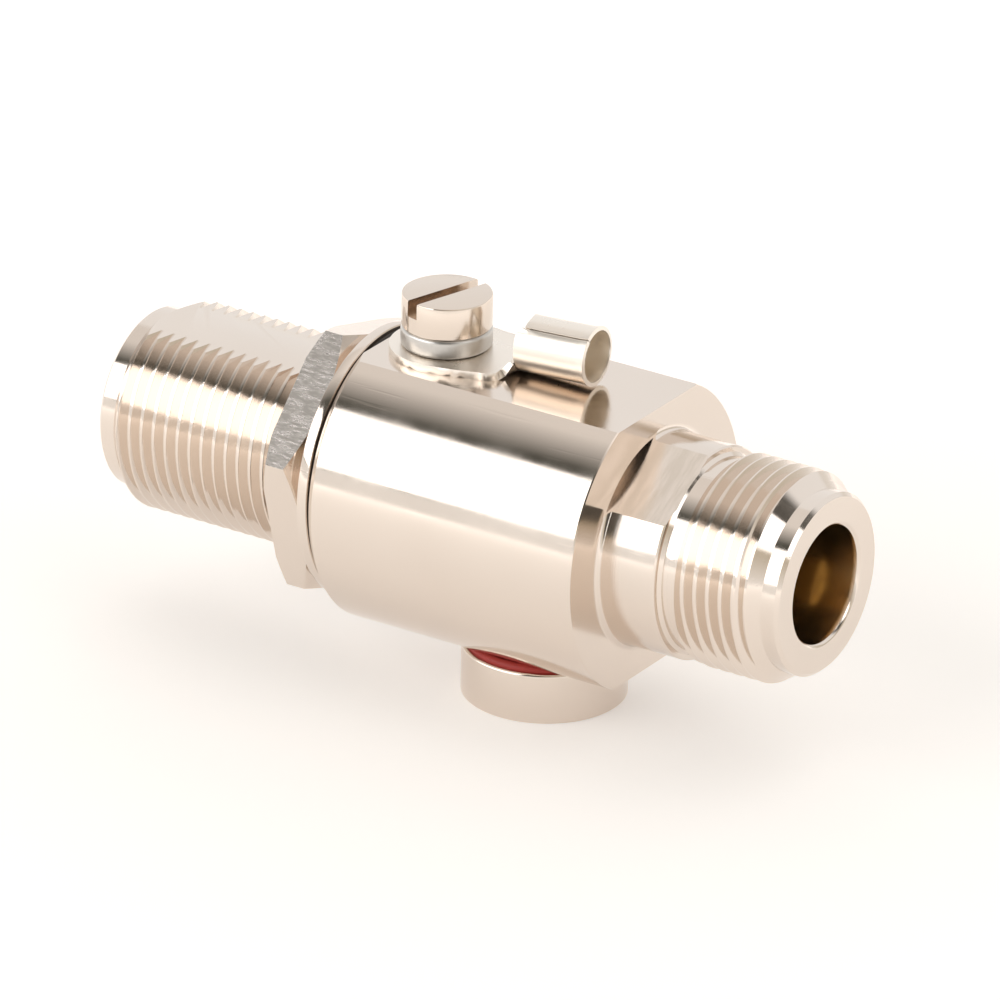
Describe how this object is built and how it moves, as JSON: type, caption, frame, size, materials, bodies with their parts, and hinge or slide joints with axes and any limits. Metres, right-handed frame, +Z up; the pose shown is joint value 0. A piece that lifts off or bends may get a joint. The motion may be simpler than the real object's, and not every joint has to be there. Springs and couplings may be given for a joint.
{
  "type": "coax lightning arrestor",
  "caption": "Bulkhead coax lightning arrestor with threaded jacks at both ends, hex nut, ground screw with ring terminal, and a screw cap that holds the gas tube.",
  "frame": {"origin": "centre of the tube cap's underside, on the surface that the arrestor stands on", "axes": "+X along the coax axis, towards the front jack; +Z up, along the ground screw; -Y towards the side with the near wrench flat"},
  "size_m": [0.0585, 0.0228, 0.0293],
  "materials": {
    "nickel_plate": "polished nickel plate over turned brass",
    "gold_plate": "gold plate over copper alloy",
    "tin_plate": "bright tin plate over copper alloy",
    "spring_steel": "zinc plated spring steel",
    "black_rubber": "matt black rubber",
    "red_rubber": "dark red silicone rubber",
    "white_fluoropolymer": "matt white fluoropolymer",
    "white_ceramic": "fired alumina"
  },
  "bodies": {
    "housing": {"housing": "nickel_plate", "front_jack": "nickel_plate", "bulkhead_gasket": "black_rubber", "centre_conductor": "nickel_plate", "rear_contact": "gold_plate", "front_contact": "gold_plate", "rear_insulator": "white_fluoropolymer", "front_insulator": "white_fluoropolymer", "rear_bush": "nickel_plate", "front_bush": "nickel_plate"},
    "washer": {"bulkhead_washer": "nickel_plate"},
    "nut": {"hex_nut": "nickel_plate"},
    "gas_tube": {"tube_upper_electrode": "tin_plate", "tube_ceramic": "white_ceramic", "tube_lower_electrode": "tin_plate", "contact_spring": "spring_steel", "cap_seal": "red_rubber"},
    "cap": {"tube_cap": "nickel_plate"},
    "lock": {"spring_washer": "spring_steel"},
    "screw": {"ground_screw": "nickel_plate"},
    "terminal": {"ring_terminal": "tin_plate"}
  },
  "joints": [
    {"name": "nut_travel", "type": "slide", "parent": "housing", "child": "washer", "axis": [-1, 0, 0], "range_m": [0, 0.0208]},
    {"name": "nut_spin", "type": "hinge", "parent": "washer", "child": "nut", "pos_m": [-0.01645, 0, 0.0145], "axis": [-1, 0, 0], "range_deg": [0, 7070]},
    {"name": "cap_travel", "type": "slide", "parent": "housing", "child": "gas_tube", "axis": [0, 0, -1], "range_m": [0, 0.012]},
    {"name": "cap_spin", "type": "hinge", "parent": "gas_tube", "child": "cap", "pos_m": [0, 0, 0.002], "axis": [0, 0, -1], "range_deg": [0, 4315]},
    {"name": "screw_travel", "type": "slide", "parent": "housing", "child": "lock", "axis": [0, 0, 1], "range_m": [0, 0.0045]},
    {"name": "screw_spin", "type": "hinge", "parent": "lock", "child": "screw", "pos_m": [-0.0089, 0, 0.028], "axis": [0, 0, 1], "range_deg": [0, 2320]},
    {"name": "terminal_swivel", "type": "hinge", "parent": "housing", "child": "terminal", "pos_m": [-0.0089, 0, 0.0246], "axis": [0, 0, 1], "range_deg": [-118, 111]}
  ],
  "couplings": [
    {"joint": "nut_travel", "follows": "nut_spin", "m_per_rad": 0.00016844},
    {"joint": "cap_travel", "follows": "cap_spin", "m_per_rad": 0.00015915},
    {"joint": "screw_spin", "follows": "screw_travel", "rad_per_m": 8976}
  ]
}
